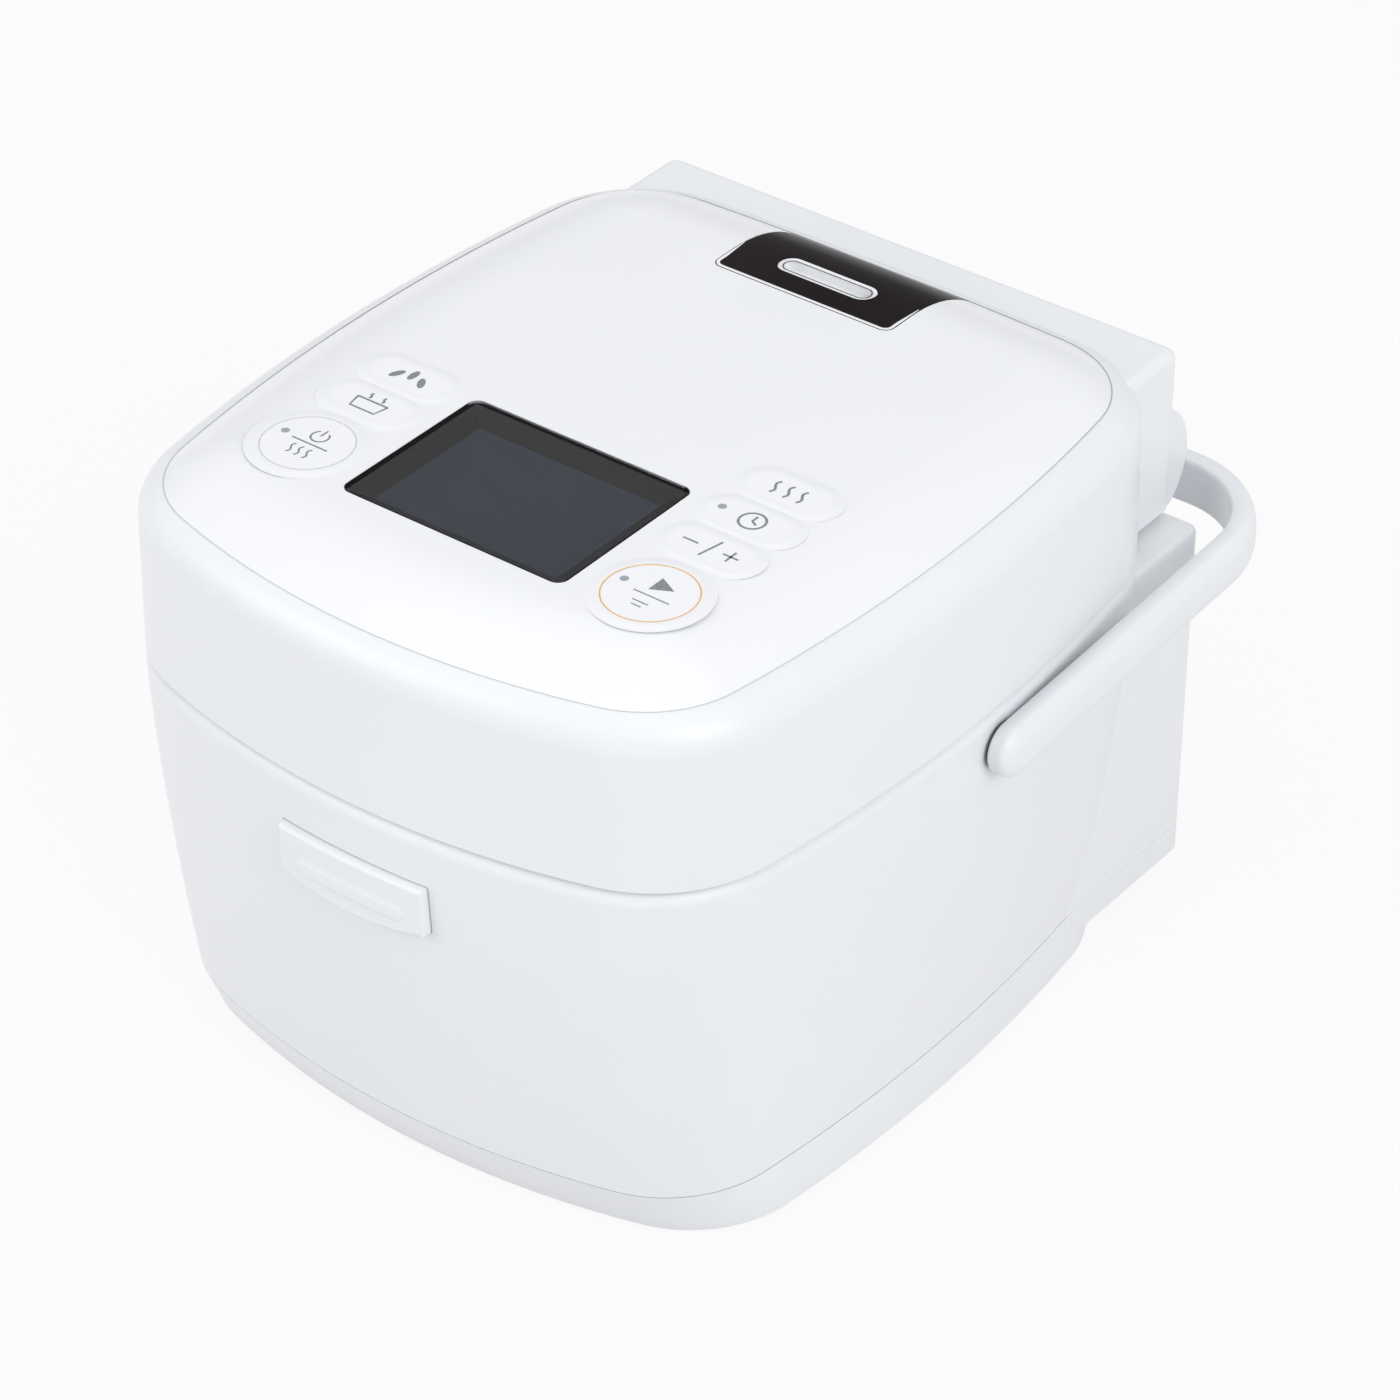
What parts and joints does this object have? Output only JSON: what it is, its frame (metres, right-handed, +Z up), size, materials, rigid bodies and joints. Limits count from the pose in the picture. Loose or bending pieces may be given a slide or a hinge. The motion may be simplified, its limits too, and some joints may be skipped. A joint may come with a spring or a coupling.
{
  "type": "rice cooker",
  "caption": "Compact white induction rice cooker with rounded corners, hinged lid, display and keys on top, lift-out steam cap, front open button and swing-up carry handle.",
  "frame": {"origin": "on the table under the middle of the object's box, carry handle included", "axes": "+Z up, -Y towards the front with the open button, +X to the right seen from the front"},
  "size_m": [0.2376, 0.2835, 0.1895],
  "materials": {
    "white_shell": "satin white",
    "white_panel": "glossy white",
    "dark_gloss": "glossy brown-black",
    "window": "clear polished cover",
    "lcd": "dark blue-grey display, off",
    "light_grey_plastic": "fine grain",
    "black_plastic": "fine grain",
    "pot_coating": "dark non-stick coat on aluminium",
    "steel": "brushed",
    "bare_aluminium": "plain",
    "grey_rubber": "soft matte",
    "circuit_board": "green solder mask",
    "copper_wire": "varnished wire",
    "ferrite": "sintered"
  },
  "bodies": {
    "base": {"body_shell": "white_shell", "base_cover": "white_shell", "feet": "grey_rubber", "base_screws": "steel", "deck": "light_grey_plastic", "inner_case": "black_plastic", "inner_pot": "pot_coating", "coil_base": "black_plastic", "induction_coil": "copper_wire", "ferrite_bars": "ferrite", "sensor_holder": "black_plastic", "sensor_spring": "steel", "power_board": "circuit_board", "heat_sink": "bare_aluminium", "board_parts": "black_plastic", "fan_frame": "black_plastic", "cord_outlet": "grey_rubber", "button_guide": "black_plastic", "button_spring": "steel", "latch_pin": "steel", "hinge_posts": "light_grey_plastic"},
    "lid": {"lid_shell": "white_shell", "lid_panel": "white_panel", "display_window": "window", "display_bezel": "dark_gloss", "lcd_module": "lcd", "display_board": "circuit_board", "key_switches": "black_plastic", "lid_inner_cover": "light_grey_plastic", "lid_heat_plate": "bare_aluminium", "lid_sensor": "black_plastic", "inner_lid": "steel", "lid_gasket": "grey_rubber", "steam_gasket": "grey_rubber", "steam_duct": "light_grey_plastic", "steam_well": "light_grey_plastic", "lid_catch": "black_plastic", "hinge_pins": "steel", "hinge_springs": "steel"},
    "carry_handle": {"handle": "white_shell"},
    "button": {"open_button": "white_shell"},
    "latch": {"latch_hook": "black_plastic"},
    "steam_unit": {"steam_cap": "dark_gloss", "steam_grille": "white_panel"},
    "fan": {"fan_rotor": "black_plastic"},
    "pot_sensor": {"sensor_cap": "bare_aluminium"},
    "key_grain_cap": {"key_grain": "white_panel"},
    "key_menu_cap": {"key_menu": "white_panel"},
    "key_stop_cap": {"key_stop": "white_panel"},
    "key_slow_cap": {"key_slow": "white_panel"},
    "key_timer_cap": {"key_timer": "white_panel"},
    "key_time_cap": {"key_time": "white_panel"},
    "key_start_cap": {"key_start": "white_panel"}
  },
  "joints": [
    {"name": "lid_hinge", "type": "hinge", "parent": "base", "child": "lid", "pos_m": [0, 0.1088, 0.138], "axis": [-1, 0, 0], "range_deg": [0, 88]},
    {"name": "handle_pivot", "type": "hinge", "parent": "base", "child": "carry_handle", "pos_m": [0, 0.0028, 0.115], "axis": [1, 0, 0], "range_deg": [0, 87]},
    {"name": "button_press", "type": "slide", "parent": "base", "child": "button", "axis": [0, 1, 0], "range_m": [0, 0.003], "stiffness_N_per_m": 600, "springref_m": -0.002, "deforming": ["button_spring"]},
    {"name": "latch_pivot", "type": "hinge", "parent": "base", "child": "latch", "pos_m": [0, -0.1177, 0.112], "axis": [1, 0, 0], "range_deg": [0, 16.5]},
    {"name": "steam_lift", "type": "slide", "parent": "lid", "child": "steam_unit", "axis": [0, 0, 1], "range_m": [0, 0.035]},
    {"name": "fan_spin", "type": "hinge", "parent": "base", "child": "fan", "pos_m": [0.056, 0.042, 0.0112], "axis": [0, 0, 1], "continuous": true},
    {"name": "sensor_press", "type": "slide", "parent": "base", "child": "pot_sensor", "axis": [0, 0, -1], "range_m": [0, 0.003], "stiffness_N_per_m": 300, "springref_m": -0.002, "deforming": ["sensor_spring"]},
    {"name": "key_grain_press", "type": "slide", "parent": "lid", "child": "key_grain_cap", "axis": [0, 0, -1], "range_m": [0, 0.0005], "stiffness_N_per_m": 1200, "springref_m": -0.0005},
    {"name": "key_menu_press", "type": "slide", "parent": "lid", "child": "key_menu_cap", "axis": [0, 0, -1], "range_m": [0, 0.0005], "stiffness_N_per_m": 1200, "springref_m": -0.0005},
    {"name": "key_stop_press", "type": "slide", "parent": "lid", "child": "key_stop_cap", "axis": [0, 0, -1], "range_m": [0, 0.0005], "stiffness_N_per_m": 1200, "springref_m": -0.0005},
    {"name": "key_slow_press", "type": "slide", "parent": "lid", "child": "key_slow_cap", "axis": [0, 0, -1], "range_m": [0, 0.0005], "stiffness_N_per_m": 1200, "springref_m": -0.0005},
    {"name": "key_timer_press", "type": "slide", "parent": "lid", "child": "key_timer_cap", "axis": [0, 0, -1], "range_m": [0, 0.0005], "stiffness_N_per_m": 1200, "springref_m": -0.0005},
    {"name": "key_time_press", "type": "slide", "parent": "lid", "child": "key_time_cap", "axis": [0, 0, -1], "range_m": [0, 0.0005], "stiffness_N_per_m": 1200, "springref_m": -0.0005},
    {"name": "key_start_press", "type": "slide", "parent": "lid", "child": "key_start_cap", "axis": [0, 0, -1], "range_m": [0, 0.0005], "stiffness_N_per_m": 1200, "springref_m": -0.0005}
  ],
  "couplings": [
    {"joint": "latch_pivot", "follows": "button_press", "rad_per_m": 95.2}
  ]
}
